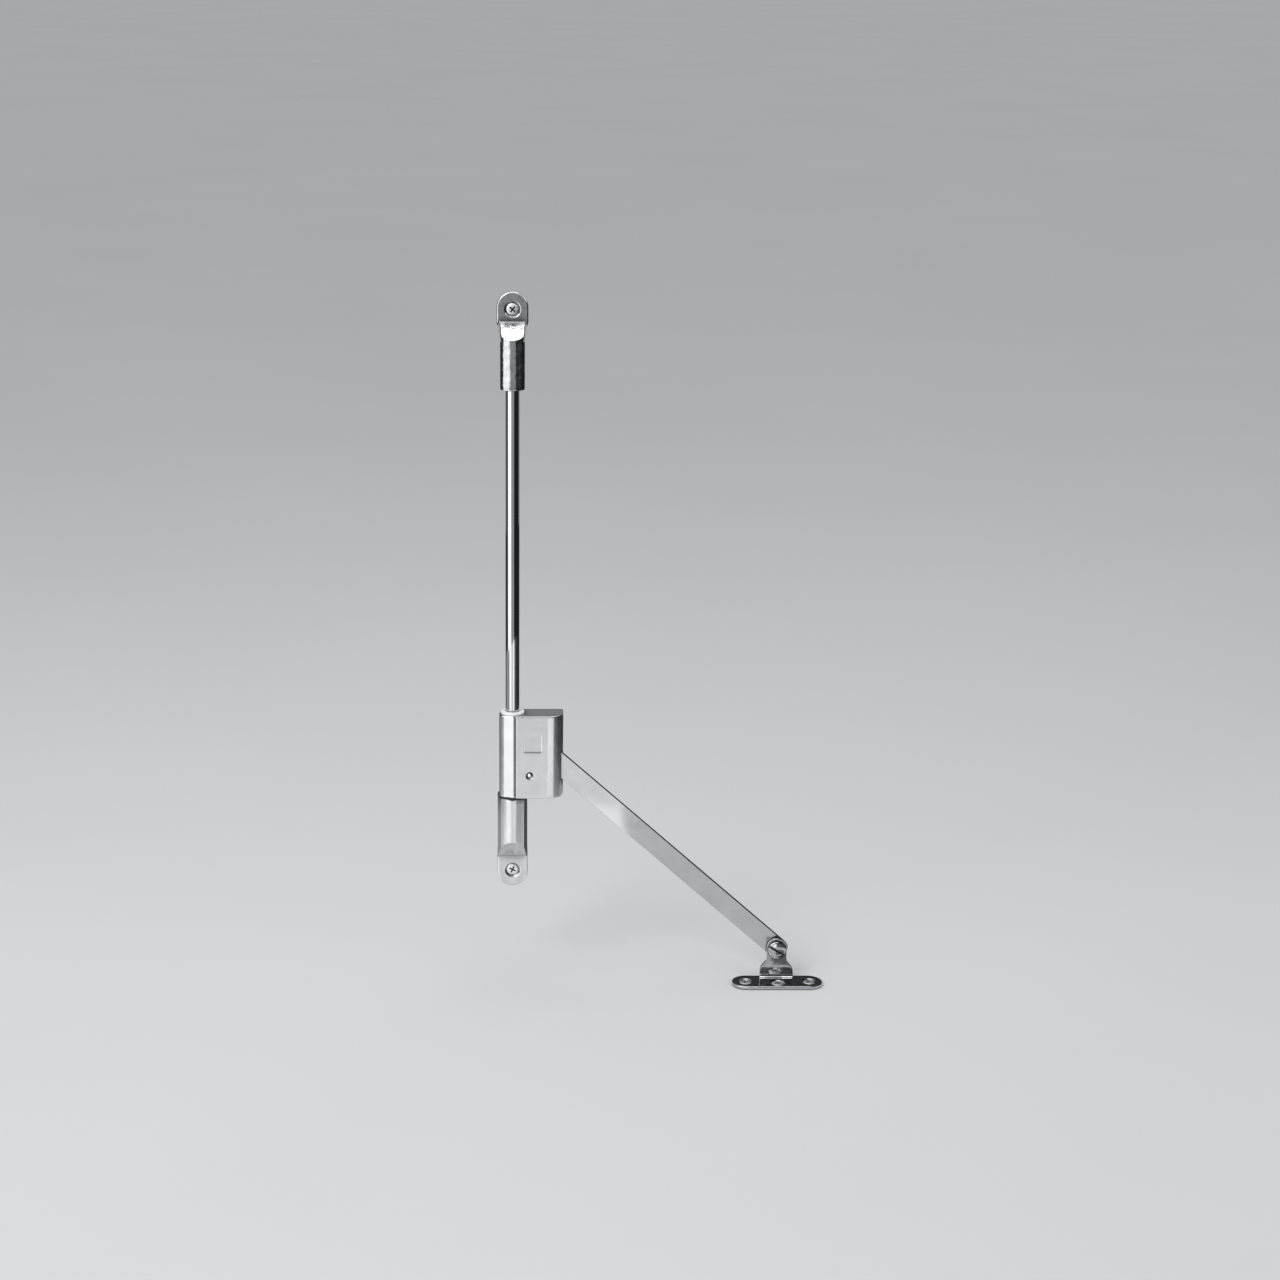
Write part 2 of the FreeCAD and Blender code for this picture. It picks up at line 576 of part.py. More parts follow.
PARTS = {
    "top_bracket": bracket(TOP_BARREL_END, TOP_RAMP_FOOT, TOP_RAMP_RISE, TOP_BASE_HALF, TOP_FRONT_HALF),
    "lower_bracket": bracket(LOW_BARREL_END, LOW_RAMP_FOOT, LOW_RAMP_RISE, LOW_BASE_HALF, LOW_FRONT_HALF),
    "bracket_screws": bracket_screws(),
    "guide_rod": guide_rod(),
    "stop_buffer": stop_buffer(),
    "housing_body": housing_body(),
    "housing_back_cover": housing_back_cover(),
    "cover_rivets": cover_rivets(),
    "upper_guide_bush": upper_guide_bush(),
    "lower_guide_bush": lower_guide_bush(),
    "arm_pivot_pin": arm_pivot_pin(),
    "arm_front_washer": arm_front_washer(),
    "arm_spacer": arm_spacer(),
    "brake_pin": brake_pin(),
    "brake_shoe": brake_shoe(),
    "brake_cam": brake_cam(),
    "brake_spring": brake_spring(),
    "strap_arm": strap_arm(),
    "foot_bracket": foot_bracket(),
    "foot_screws": foot_screws(),
    "foot_pivot_screw": foot_pivot_screw(),
    "foot_pivot_washer": foot_pivot_washer(),
    "foot_pivot_nut": foot_pivot_nut(),
}

for name, shape in PARTS.items():
    print(name, len(shape.Solids), "solids", round(shape.Volume, 1), "mm3", shape.isValid())
    shape.exportStep("parts/" + name + ".step")
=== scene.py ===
"""Looks of the flap stay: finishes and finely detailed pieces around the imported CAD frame.

Metres, row frame: +X right, +Y into the wall, +Z up.
Sizes given in millimetres are turned into metres by MM.
"""

import json
import math

import bmesh
import bpy
from mathutils import Matrix, Vector


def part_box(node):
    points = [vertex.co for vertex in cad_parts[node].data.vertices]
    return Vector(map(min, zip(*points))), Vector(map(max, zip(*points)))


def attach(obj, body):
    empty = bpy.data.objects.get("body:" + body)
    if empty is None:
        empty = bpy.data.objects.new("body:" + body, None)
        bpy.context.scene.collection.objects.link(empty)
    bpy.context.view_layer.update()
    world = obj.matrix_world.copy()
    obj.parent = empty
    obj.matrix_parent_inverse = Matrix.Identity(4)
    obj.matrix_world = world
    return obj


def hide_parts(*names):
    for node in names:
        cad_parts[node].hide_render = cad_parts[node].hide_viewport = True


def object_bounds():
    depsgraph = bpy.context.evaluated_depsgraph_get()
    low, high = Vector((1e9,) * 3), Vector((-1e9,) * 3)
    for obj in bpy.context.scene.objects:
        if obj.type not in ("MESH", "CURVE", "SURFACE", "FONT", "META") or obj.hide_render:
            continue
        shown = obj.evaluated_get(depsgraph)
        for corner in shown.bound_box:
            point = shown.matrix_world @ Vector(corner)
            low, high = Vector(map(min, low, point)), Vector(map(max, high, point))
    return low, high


MM = 0.001

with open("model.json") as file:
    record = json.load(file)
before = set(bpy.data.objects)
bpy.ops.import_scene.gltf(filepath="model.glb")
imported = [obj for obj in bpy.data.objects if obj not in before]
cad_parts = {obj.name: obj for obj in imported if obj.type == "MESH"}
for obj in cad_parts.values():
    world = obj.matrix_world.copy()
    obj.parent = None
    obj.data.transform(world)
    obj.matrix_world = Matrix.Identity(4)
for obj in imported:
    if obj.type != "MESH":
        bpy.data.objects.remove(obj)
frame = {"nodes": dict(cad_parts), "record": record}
cad_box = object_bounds()
record = frame["record"]
BODY_OF = {node: body for body, nodes in record["behaviour"]["bodies"].items() for node in nodes}
SLOT_OF = {part["node"]: part["material_slot"] for part in record["subparts"]}


# ---------------------------------------------------------------- finishes

class Finish:
    """A node material under construction; every method adds nodes and returns a socket."""

    def __init__(self, name, metallic, ior=1.5):
        self.material = bpy.data.materials.new(name)
        self.material.use_nodes = True
        self.tree = self.material.node_tree
        self.shader = self.tree.nodes["Principled BSDF"]
        self.shader.inputs["Metallic"].default_value = metallic
        self.shader.inputs["IOR"].default_value = ior
        self.place = self.tree.nodes.new("ShaderNodeTexCoord").outputs["Object"]

    def node(self, kind, **settings):
        made = self.tree.nodes.new(kind)
        for key, value in settings.items():
            setattr(made, key, value)
        return made

    def link(self, source, target):
        self.tree.links.new(source, target)

    def noise(self, size, stretch=(1, 1, 1), turn=0.0, detail=3.0, roughness=0.5):
        """Noise with features about size metres across, longer by stretch, turned about Y."""
        mapping = self.node("ShaderNodeMapping")
        mapping.vector_type = "TEXTURE"
        mapping.inputs["Rotation"].default_value = (0, turn, 0)
        mapping.inputs["Scale"].default_value = [size * s for s in stretch]
        self.link(self.place, mapping.inputs["Vector"])
        made = self.node("ShaderNodeTexNoise")
        made.inputs["Scale"].default_value = 1.0
        made.inputs["Detail"].default_value = detail
        made.inputs["Roughness"].default_value = roughness
        self.link(mapping.outputs["Vector"], made.inputs["Vector"])
        return made.outputs["Fac"]

    def ranged(self, value, low, high, near=0.3, far=0.7):
        """Value between near and far, mapped to low and high."""
        made = self.node("ShaderNodeMapRange")
        for key, number in zip(("From Min", "From Max", "To Min", "To Max"), (near, far, low, high)):
            made.inputs[key].default_value = number
        self.link(value, made.inputs["Value"])
        return made.outputs["Result"]

    def edges(self, radius):
        """One on edges that a bevel of this radius would round, zero on open faces."""
        bevel = self.node("ShaderNodeBevel", samples=4)
        bevel.inputs["Radius"].default_value = radius
        flat = self.node("ShaderNodeNewGeometry")
        dot = self.node("ShaderNodeVectorMath", operation="DOT_PRODUCT")
        self.link(bevel.outputs["Normal"], dot.inputs[0])
        self.link(flat.outputs["Normal"], dot.inputs[1])
        return self.ranged(dot.outputs["Value"], 1.0, 0.0, 0.90, 0.995)

    def crevices(self, reach, deep, open_sky):
        """Ambient occlusion mask for painted shade: one deep in grooves and round recessed heads, zero on
        open faces.
        """
        occlusion = self.node("ShaderNodeAmbientOcclusion", samples=6)
        occlusion.inputs["Distance"].default_value = reach
        return self.ranged(occlusion.outputs["AO"], 1.0, 0.0, deep, open_sky)

    def mix_colour(self, share, low, high):
        made = self.node("ShaderNodeMix", data_type="RGBA")
        self.link(share, made.inputs["Factor"])
        for index, colour in ((6, low), (7, high)):
            if isinstance(colour, bpy.types.NodeSocket):
                self.link(colour, made.inputs[index])
            else:
                made.inputs[index].default_value = (*colour, 1)
        return made.outputs[2]

    def mix_value(self, share, low, high):
        made = self.node("ShaderNodeMix", data_type="FLOAT")
        self.link(share, made.inputs["Factor"])
        for index, number in ((2, low), (3, high)):
            if isinstance(number, bpy.types.NodeSocket):
                self.link(number, made.inputs[index])
            else:
                made.inputs[index].default_value = number
        return made.outputs[0]

    def bumps(self, *layers):
        """Bumps stacked from (height socket, depth in metres) pairs."""
        normal = None
        for height, depth in layers:
            bump = self.node("ShaderNodeBump")
            bump.inputs["Strength"].default_value = 1.0
            bump.inputs["Distance"].default_value = depth
            self.link(height, bump.inputs["Height"])
            if normal is not None:
                self.link(normal, bump.inputs["Normal"])
            normal = bump.outputs["Normal"]
        self.link(normal, self.shader.inputs["Normal"])

    def done(self, colour, roughness):
        self.link(colour, self.shader.inputs["Base Color"])
        self.link(roughness, self.shader.inputs["Roughness"])
        return self.material


def tint(colour, factor):
    return tuple(min(1.0, channel * factor) for channel in colour)


def plated_metal(name, colour, roughness, blotch, grain, grain_depth, wave, wave_depth,
                 edge=0.35 * MM, stretch=(1, 1, 1), turn=0.0, crevice_shade=(1.5 * MM, 0.45, 0.9),
                 dull=0.93):
    """Plated metal: blotches in colour and gloss, fine grain, slow waviness, edges lighter as wear and
    painted highlight, and painted shade darkening the crevices.

    crevice_shade is the reach of the painted shade in crevices and the openness at which it is darkest and
    at which it ends.
    """
    finish = Finish(name, 1.0)
    clouds = finish.noise(blotch)
    fine = finish.noise(grain, stretch, turn, detail=2.0)
    slow = finish.noise(wave, stretch, turn, detail=1.0)
    edge_wear_and_highlight = finish.edges(edge)
    body = finish.mix_colour(finish.ranged(clouds, 0.0, 1.0), tint(colour, dull), tint(colour, 1.04))
    body = finish.mix_colour(finish.ranged(fine, 0.0, 0.25), body, tint(colour, 0.8))
    # Edges painted lighter: partly edge wear, partly a painted highlight along every rounded edge.
    body = finish.mix_colour(finish.ranged(edge_wear_and_highlight, 0.0, 0.6, 0.0, 1.0), body, tint(colour, 1.14))
    # Painted shade: colour darkened almost to black in grooves, recesses and corners that ambient occlusion
    # finds.
    painted_shade = finish.ranged(finish.crevices(*crevice_shade), 0.0, 0.95, 0.0, 1.0)
    colour_out = finish.mix_colour(painted_shade, body, tint(colour, 0.06))
    low, high = roughness
    gloss = finish.ranged(clouds, low, high)
    gloss = finish.mix_value(finish.ranged(fine, 0.0, 0.5), gloss, high * 1.15)
    finish.bumps((slow, wave_depth), (fine, grain_depth))
    return finish.done(colour_out, gloss)


def moulded(name, colour, roughness, grain, grain_depth, ior=1.5):
    """Plastic or rubber with a slightly uneven skin."""
    finish = Finish(name, 0.0, ior)
    clouds = finish.noise(6 * MM)
    fine = finish.noise(grain, detail=2.0)
    edge_wear_and_highlight = finish.edges(0.3 * MM)
    body = finish.mix_colour(finish.ranged(clouds, 0.0, 1.0), tint(colour, 0.94), tint(colour, 1.03))
    # Edges painted lighter: partly edge wear, partly a painted highlight along every rounded edge.
    colour_out = finish.mix_colour(finish.ranged(edge_wear_and_highlight, 0.0, 0.35, 0.0, 1.0), body, tint(colour, 1.25))
    gloss = finish.ranged(fine, roughness[0], roughness[1])
    finish.bumps((fine, grain_depth))
    return finish.done(colour_out, gloss)


JOINTS = {joint["name"]: joint for joint in record["behaviour"]["joints"]}
ARM_PIVOT = Vector(JOINTS["arm_turn"]["pos_m"])
FOOT_PIVOT = Vector(JOINTS["foot_turn"]["pos_m"])
STRAP_LEAN = math.atan2(ARM_PIVOT.z - FOOT_PIVOT.z, FOOT_PIVOT.x - ARM_PIVOT.x)

FINISHES = {
    # Each plated finish paints shade into its crevices; the two castings paint it deepest and widest.
    "nickel_plated_casting": plated_metal(
        "nickel_plated_casting", (0.74, 0.75, 0.76), (0.09, 0.20), 3 * MM,
        0.5 * MM, 0.012 * MM, 2.5 * MM, 0.14 * MM, crevice_shade=(5.0 * MM, 0.86, 0.98), dull=0.72),
    "satin_casting": plated_metal(
        "satin_casting", (0.80, 0.81, 0.82), (0.16, 0.25), 7 * MM,
        0.35 * MM, 0.035 * MM, 6 * MM, 0.03 * MM, edge=0.5 * MM, crevice_shade=(5.0 * MM, 0.74, 0.97)),
    "zinc_plated_sheet": plated_metal(
        "zinc_plated_sheet", (0.62, 0.64, 0.66), (0.24, 0.38), 5 * MM,
        0.3 * MM, 0.006 * MM, 8 * MM, 0.03 * MM, stretch=(1, 1, 18)),
    "zinc_plated_steel": plated_metal(
        "zinc_plated_steel", (0.92, 0.93, 0.94), (0.34, 0.48), 2 * MM,
        0.25 * MM, 0.006 * MM, 2 * MM, 0.03 * MM, edge=0.15 * MM),
    "chromed_rod": plated_metal(
        "chromed_rod", (0.80, 0.81, 0.82), (0.03, 0.07), 20 * MM,
        0.2 * MM, 0.0004 * MM, 12 * MM, 0.002 * MM, stretch=(1, 1, 60)),
    "polished_strip": plated_metal(
        "polished_strip", (0.80, 0.81, 0.83), (0.05, 0.10), 12 * MM,
        0.25 * MM, 0.0008 * MM, 9 * MM, 0.006 * MM, edge=0.12 * MM, stretch=(40, 1, 1), turn=STRAP_LEAN),
    "nickel_plated_sheet": plated_metal(
        "nickel_plated_sheet", (0.66, 0.68, 0.70), (0.06, 0.14), 4 * MM,
        0.4 * MM, 0.004 * MM, 3 * MM, 0.05 * MM, edge=0.3 * MM, dull=0.80),
    "nickel_plated_steel": plated_metal(
        "nickel_plated_steel", (0.70, 0.71, 0.73), (0.07, 0.15), 3 * MM,
        0.25 * MM, 0.002 * MM, 2 * MM, 0.02 * MM, edge=0.2 * MM),
    "spring_steel": plated_metal(
        "spring_steel", (0.30, 0.32, 0.38), (0.25, 0.38), 3 * MM,
        0.2 * MM, 0.003 * MM, 3 * MM, 0.02 * MM, stretch=(1, 1, 20)),
    "black_rubber": moulded("black_rubber", (0.02, 0.02, 0.021), (0.55, 0.75), 0.3 * MM, 0.02 * MM),
    "white_plastic": moulded("white_plastic", (0.76, 0.77, 0.78), (0.22, 0.34), 0.5 * MM, 0.004 * MM),
    "brake_plastic": moulded("brake_plastic", (0.06, 0.06, 0.065), (0.40, 0.55), 0.4 * MM, 0.01 * MM),
}


# ---------------------------------------------------------------- mesh tools

def add_object(name, mesh):
    made = bpy.data.objects.new(name, mesh)
    bpy.context.scene.collection.objects.link(made)
    return made


def mesh_from(bm, name):
    bmesh.ops.remove_doubles(bm, verts=bm.verts, dist=1e-7)
    bmesh.ops.recalc_face_normals(bm, faces=bm.faces)
    mesh = bpy.data.meshes.new(name)
    bm.to_mesh(mesh)
    bm.free()
    return mesh


def smooth_but_for(mesh, degrees):
    """Smooth shading with the edges sharper than this kept sharp."""
    mesh.polygons.foreach_set("use_smooth", [True] * len(mesh.polygons))
    mesh.set_sharp_from_angle(angle=math.radians(degrees))


def apply_modifiers(obj):
    seen = obj.evaluated_get(bpy.context.evaluated_depsgraph_get())
    mesh = bpy.data.meshes.new_from_object(seen)
    obj.modifiers.clear()
    obj.data = mesh
    return obj


def stands_for(piece, node, slot=None):
    """The piece takes over the CAD node: its body, its slot and that slot's finish."""
    slot = slot or SLOT_OF[node]
    piece.data.materials.clear()
    piece.data.materials.append(FINISHES[slot])
    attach(piece, BODY_OF[node])
    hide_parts(node)
    return piece


def softened(corners, closed, steps=5):
    """Points of a profile whose corners (a, b, radius) are rounded by their radius."""
    points = []
    for i, (a, b, radius) in enumerate(corners):
        here = Vector((a, b))
        if radius == 0 or (not closed and i in (0, len(corners) - 1)):
            points.append(here)
            continue
        before = (Vector(corners[i - 1][:2]) - here).normalized()
        after = (Vector(corners[(i + 1) % len(corners)][:2]) - here).normalized()
        half = before.angle(after) / 2
        reach = radius / math.tan(half)
        centre = here + (before + after).normalized() * (radius / math.sin(half))
        start = here + before * reach - centre
        end = here + after * reach - centre
        points += [centre + start.slerp(end, k / steps) * radius for k in range(steps + 1)]
    return points


def turned_mesh(name, corners, centre, axis, closed=False, segments=72, steps=5, swell=None):
    """Revolved mesh of corners (radius, height, rounding), in mm, about "Y" or "Z" through centre.

    swell(radius, height, angle) may change a point's radius, for threads and knurls.
    """
    bm = bmesh.new()
    rings = []
    for radius, height in softened(corners, closed, steps):
        ring = []
        for k in range(segments if radius > 1e-4 else 1):
            angle = 2 * math.pi * k / segments
            r = swell(radius, height, angle) if swell else radius
            u, v = r * math.cos(angle), r * math.sin(angle)
            offset = Vector((u, height, v)) if axis == "Y" else Vector((u, v, height))
            ring.append(bm.verts.new(centre + offset * MM))
        rings.append(ring)
    following = rings[1:] + rings[:1] if closed else rings[1:]
    for low, high in zip(rings, following):
        for k in range(segments):
            corners_of = [low[k % len(low)], low[(k + 1) % len(low)],
                          high[(k + 1) % len(high)], high[k % len(high)]]
            corners_of = list(dict.fromkeys(corners_of))
            if len(corners_of) > 2:
                bm.faces.new(corners_of)
    mesh = mesh_from(bm, name)
    smooth_but_for(mesh, 40)
    return mesh


def carve(obj, cutters):
    """Subtracts the cutter objects from obj and removes them."""
    for i, cutter in enumerate(cutters):
        cut = obj.modifiers.new(f"cut_{i}", "BOOLEAN")
        cut.operation = "DIFFERENCE"
        cut.solver = "EXACT"
        cut.object = cutter
    apply_modifiers(obj)
    for cutter in cutters:
        bpy.data.objects.remove(cutter)
    smooth_but_for(obj.data, 35)
    return obj


def joined(name, objects):
    """One object from several meshes."""
    bm = bmesh.new()
    for obj in objects:
        bm.from_mesh(obj.data)
        bpy.data.objects.remove(obj)
    mesh = bpy.data.meshes.new(name)
    bm.to_mesh(mesh)
    bm.free()
    smooth_but_for(mesh, 35)
    return add_object(name, mesh)


def cast_copy(name, node, grid, rounds, reshape=None):
    """The node's shape with every edge and inner corner softened, as a casting or pressing has them.

    reshape(x, y, z), in mm, may push a point back and returns its new y.
    """
    bm = bmesh.new()
    bm.from_mesh(frame["nodes"][node].data)
    mesh = mesh_from(bm, name)
    piece = add_object(name, mesh)
    voxels = piece.modifiers.new("grid", "REMESH")
    voxels.mode = "VOXEL"
    voxels.voxel_size = grid
    soften = piece.modifiers.new("soften", "SMOOTH")
    soften.factor = 0.5
    soften.iterations = rounds
    apply_modifiers(piece)
    if reshape:
        for vertex in piece.data.vertices:
            vertex.co.y = reshape(*(vertex.co / MM)) * MM
    piece.data.polygons.foreach_set("use_smooth", [True] * len(piece.data.polygons))
    return stands_for(piece, node)


# ---------------------------------------------------------------- detailed pieces

def middle(node, *axes):
    """Centre of a node's box with the other axes at zero."""
    low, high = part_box(node)
    centre = (low + high) / 2
    return Vector([centre[i] if "XYZ"[i] in axes else 0.0 for i in range(3)])


def cross_cutter(face, into, reach, width, depth, lean):
    """Tapered cross, to be cut from a screw head's face along the direction into."""
    outline = []
    for quarter in range(4):
        turn = Matrix.Rotation(quarter * math.pi / 2 + lean, 2)
        for a, b in ((width / 2, width / 2), (reach, width / 2), (reach, -width / 2)):
            outline.append(turn @ Vector((a, b)))
    ordered = sorted(outline, key=lambda p: math.atan2(p.y, p.x))
    side = Vector((1, 0, 0))
    up = into.cross(side)
    bm = bmesh.new()
    rings = []
    for level, scale in ((-0.6, 1.15), (0.0, 1.0), (depth, 0.35)):
        rings.append([bm.verts.new(face + (side * p.x * scale + up * p.y * scale + into * level) * MM)
                      for p in ordered])
    for low, high in zip(rings, rings[1:]):
        for k in range(len(low)):
            bm.faces.new([low[k - 1], low[k], high[k], high[k - 1]])
    bm.faces.new(rings[0])
    bm.faces.new(rings[-1])
    return add_object("cutter", mesh_from(bm, "cutter"))


def wood_thread(core, crest, pitch, start, run_in, tip):
    """Swell function of a sharp, wide-spaced screw thread that starts at start and fades to the tip."""
    def swell(radius, height, angle):
        if height < start or radius < 0.05:
            return radius
        phase = ((height - start) / pitch - angle / (2 * math.pi)) % 1.0
        tooth = max(0.0, 1 - abs(phase - 0.5) / 0.24)
        fade = min(1.0, (height - start) / run_in)
        root = min(radius, core * min(1.0, (tip - height) / 3.0 + 0.1))
        return root + (min(radius, crest) - root) * tooth * fade
    return swell


HEAD_CROWN = 0.5
HEAD_STEPS = 14
HEAD_LIP = 0.55
NECK_R = 1.7
SHANK_R = 2.0
THREAD_PITCH = 1.6
THREAD_CORE = 1.35
THREAD_FADE = 0.8
THREAD_ROWS_PER_TURN = 9
POINT_TAPER = 0.58
POINT_R = 0.25
CROSS_REACH = 0.62
CROSS_WIDTH = 0.25
CROSS_DEPTH = 0.55


def wood_screw(name, head_r, neck_end, tip, lean):
    """Countersunk cross-recessed wood screw about Y, its face at height zero and its point at height tip."""
    cone_end = HEAD_LIP + head_r - NECK_R
    thread_rows = int((tip - neck_end - 0.4) / (THREAD_PITCH / THREAD_ROWS_PER_TURN))
    shares = [k / HEAD_STEPS for k in range(HEAD_STEPS)]
    corners = [(head_r * share, HEAD_CROWN * share ** 4, 0) for share in shares]
    corners += [(head_r, HEAD_CROWN, 0.05), (head_r, HEAD_LIP, 0.04), (NECK_R, cone_end, 0.25),
                (NECK_R, neck_end, 0)]
    for row in range(thread_rows + 1):
        height = neck_end + 0.05 + (tip - neck_end - 0.35) * row / thread_rows
        corners.append((min(SHANK_R, POINT_R + (tip - height) * POINT_TAPER), height, 0))
    corners.append((0, tip, 0))
    thread = wood_thread(THREAD_CORE, SHANK_R, THREAD_PITCH, neck_end, THREAD_FADE, tip)
    mesh = turned_mesh(name, corners, Vector(), "Y", segments=40, steps=3, swell=thread)
    screw = add_object(name, mesh)
    cross = cross_cutter(Vector(), Vector((0, 1, 0)), CROSS_REACH * head_r, CROSS_WIDTH * head_r,
                         CROSS_DEPTH * head_r, lean)
    return carve(screw, [cross])


def screw_set(name, node, places, head_r, neck_end, tip, turn, leans):
    """Copies of a wood screw at places, each turned so that its axis points where turn says."""
    screws = []
    for i, (place, lean) in enumerate(zip(places, leans)):
        screw = wood_screw(f"{name}_{i}", head_r, neck_end, tip, lean)
        screw.data.transform(Matrix.Translation(place) @ turn)
        screws.append(screw)
    return stands_for(joined(name, screws), node)


# Castings and pressings
BARREL_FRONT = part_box("top_bracket")[0].y / MM
BARREL_ROUND = 8.0
BARREL_SIDE = 0.9
BARREL_DEEP = 4.5
PAD_FACE = -3.0
RAMP_FOOT = 161.0
RAMP_HALF = 5.9
RAMP_WIDENS = 0.09
RAMP_ABOVE = 3
FLANK_STEEP = 1.4


def round_front(x, y, z):
    """Gives a bracket's barrel a round front."""
    across = min(abs(x), BARREL_ROUND - BARREL_SIDE)
    front = BARREL_FRONT + BARREL_ROUND - math.sqrt(BARREL_ROUND ** 2 - across ** 2)
    return max(y, front) if y < BARREL_FRONT + BARREL_DEEP else y


def round_front_and_flanks(x, y, z):
    """The same, and slopes the ramp off on both sides."""
    y = round_front(x, y, z)
    ramp = PAD_FACE - (RAMP_FOOT - z)
    half = RAMP_HALF + RAMP_WIDENS * (z - (RAMP_FOOT + BARREL_FRONT - PAD_FACE))
    if abs(x) < half or not BARREL_FRONT - RAMP_ABOVE < ramp < PAD_FACE:
        return y
    return max(y, min(PAD_FACE, ramp + (abs(x) - half) * FLANK_STEEP))


for piece_name, node_name, grid_size, smoothing, change in (
        ("top_bracket_casting", "top_bracket", 0.32 * MM, 8, round_front_and_flanks),
        ("lower_bracket_casting", "lower_bracket", 0.32 * MM, 8, round_front),
        ("housing_casting", "housing_body", 0.36 * MM, 5, None),
        ("back_cover_pressing", "housing_back_cover", 0.24 * MM, 4, None),
        ("foot_pressing", "foot_bracket", 0.24 * MM, 6, None)):
    cast_copy(piece_name, node_name, grid_size, smoothing, change)

# Guide rod
rod_low, rod_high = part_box("guide_rod")
rod_axis = middle("guide_rod", "X", "Y")
rod_r = (rod_high.x - rod_low.x) / 2 / MM
rod_foot = rod_low.z / MM
rod_top = rod_high.z / MM
ROD_CHAMFER = 0.5
rod_mesh = turned_mesh("chrome_rod", [
    (0, rod_foot, 0), (rod_r - ROD_CHAMFER, rod_foot, 0.1), (rod_r, rod_foot + ROD_CHAMFER, 0.2),
    (rod_r, rod_top - ROD_CHAMFER, 0.2), (rod_r - ROD_CHAMFER, rod_top, 0.1), (0, rod_top, 0)],
    rod_axis, "Z", segments=128)
stands_for(add_object("chrome_rod", rod_mesh), "guide_rod")

# Wall screws; the leans turn each cross recess about the screw's axis, in radians
WALL_HEAD_GAP = 0.25
WALL_NECK_PAST = 0.3
WALL_LEANS = (0.7, 0.45)
wall_low, wall_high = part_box("bracket_screws")
wall_z = wall_high.z - (wall_high.x - wall_low.x) / 2
wall_head_r = (wall_high.x - wall_low.x) / 2 / MM - WALL_HEAD_GAP
neck_to_wall = -wall_low.y / MM + WALL_NECK_PAST
screw_set("wall_screws", "bracket_screws",
          [Vector((0, wall_low.y, wall_z)), Vector((0, wall_low.y, -wall_z))],
          wall_head_r, neck_to_wall, (wall_high.y - wall_low.y) / MM, Matrix.Identity(4), WALL_LEANS)

# Foot screws
FLAP_HEAD_R = 3.6
FLAP_NECK = 2.5
FLAP_LEANS = (0.3, 0.9, 0.6)
foot_low, foot_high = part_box("foot_screws")
flap_y_back = foot_high.y - FLAP_HEAD_R * MM
flap_y_front = foot_low.y + FLAP_HEAD_R * MM
flap_x = middle("foot_screws", "X").x
flap_reach = (foot_high.x - foot_low.x) / 2 - FLAP_HEAD_R * MM
screw_set("flap_screws", "foot_screws",
          [Vector((flap_x - flap_reach, flap_y_back, foot_high.z)),
           Vector((flap_x, flap_y_front, foot_high.z)),
           Vector((flap_x + flap_reach, flap_y_back, foot_high.z))],
          FLAP_HEAD_R, FLAP_NECK, (foot_high.z - foot_low.z) / MM,
          Matrix.Rotation(-math.pi / 2, 4, "X"), FLAP_LEANS)

# Guide bushes and buffer
BUSH_R = 5.5
UPPER_FLANGE_R = 7.0
LOWER_FLANGE_R = 6.5
LOWER_FLANGE_THICK = 1
BUFFER_BORE_R = 4.3
bush_low, bush_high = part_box("upper_guide_bush")
bush_bore = rod_r + 0.05
bush_foot = bush_low.z / MM
bush_top = bush_high.z / MM
flange_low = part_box("housing_body")[1].z / MM
upper_bush = turned_mesh("upper_bush_ring", [
    (bush_bore, bush_foot, 0.1), (BUSH_R, bush_foot, 0.2), (BUSH_R, flange_low, 0),
    (UPPER_FLANGE_R, flange_low, 0.15), (UPPER_FLANGE_R, bush_top, 0.6), (bush_bore, bush_top, 0.35)],
    rod_axis, "Z", closed=True)
stands_for(add_object("upper_bush_ring", upper_bush), "upper_guide_bush")
lower_low, lower_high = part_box("lower_guide_bush")
lower_foot = lower_low.z / MM
lower_top = lower_high.z / MM
lower_bush = turned_mesh("lower_bush_ring", [
    (bush_bore, lower_foot, 0.3), (LOWER_FLANGE_R, lower_foot, 0.2),
    (LOWER_FLANGE_R, lower_foot + LOWER_FLANGE_THICK, 0), (BUSH_R, lower_foot + LOWER_FLANGE_THICK, 0),
    (BUSH_R, lower_top, 0.3), (bush_bore, lower_top, 0.1)],
    rod_axis, "Z", closed=True)
stands_for(add_object("lower_bush_ring", lower_bush), "lower_guide_bush")
ring_low, ring_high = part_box("stop_buffer")
ring_r = (ring_high.x - ring_low.x) / 2 / MM
rubber_ring = turned_mesh("rubber_ring", [
    (BUFFER_BORE_R, ring_low.z / MM, 0.1), (ring_r, ring_low.z / MM, 0.3),
    (ring_r, ring_high.z / MM, 0.35), (BUFFER_BORE_R, ring_high.z / MM, 0.2)],
    rod_axis, "Z", closed=True)
stands_for(add_object("rubber_ring", rubber_ring), "stop_buffer")


# Foot pivot: slotted shoulder screw, washer and hexagon nut
pivot_low, pivot_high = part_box("foot_pivot_screw")
pivot_axis = Vector((FOOT_PIVOT.x, 0, FOOT_PIVOT.z))
pivot_head_r = (pivot_high.x - pivot_low.x) / 2 / MM
PIVOT_HEAD_THICK = 2.7
PIVOT_DOME = 1.0
PIVOT_DOME_POWER = 2.6
PIVOT_DOME_STEPS = 16
PIVOT_RIM = 1.25
PIVOT_SHOULDER_R = 3.0
PIVOT_THREAD_R = 2.5
PIVOT_THREAD_DEEP = 0.4
PIVOT_PITCH = 0.8
PIVOT_ROWS_PER_TURN = 8
PIVOT_PLAIN = 3.2
PIVOT_SLOT_HALF = 7
PIVOT_SLOT_WIDE = 1.4
PIVOT_SLOT_DEEP = 1.7
PIVOT_SLOT_LEAN = math.radians(31)
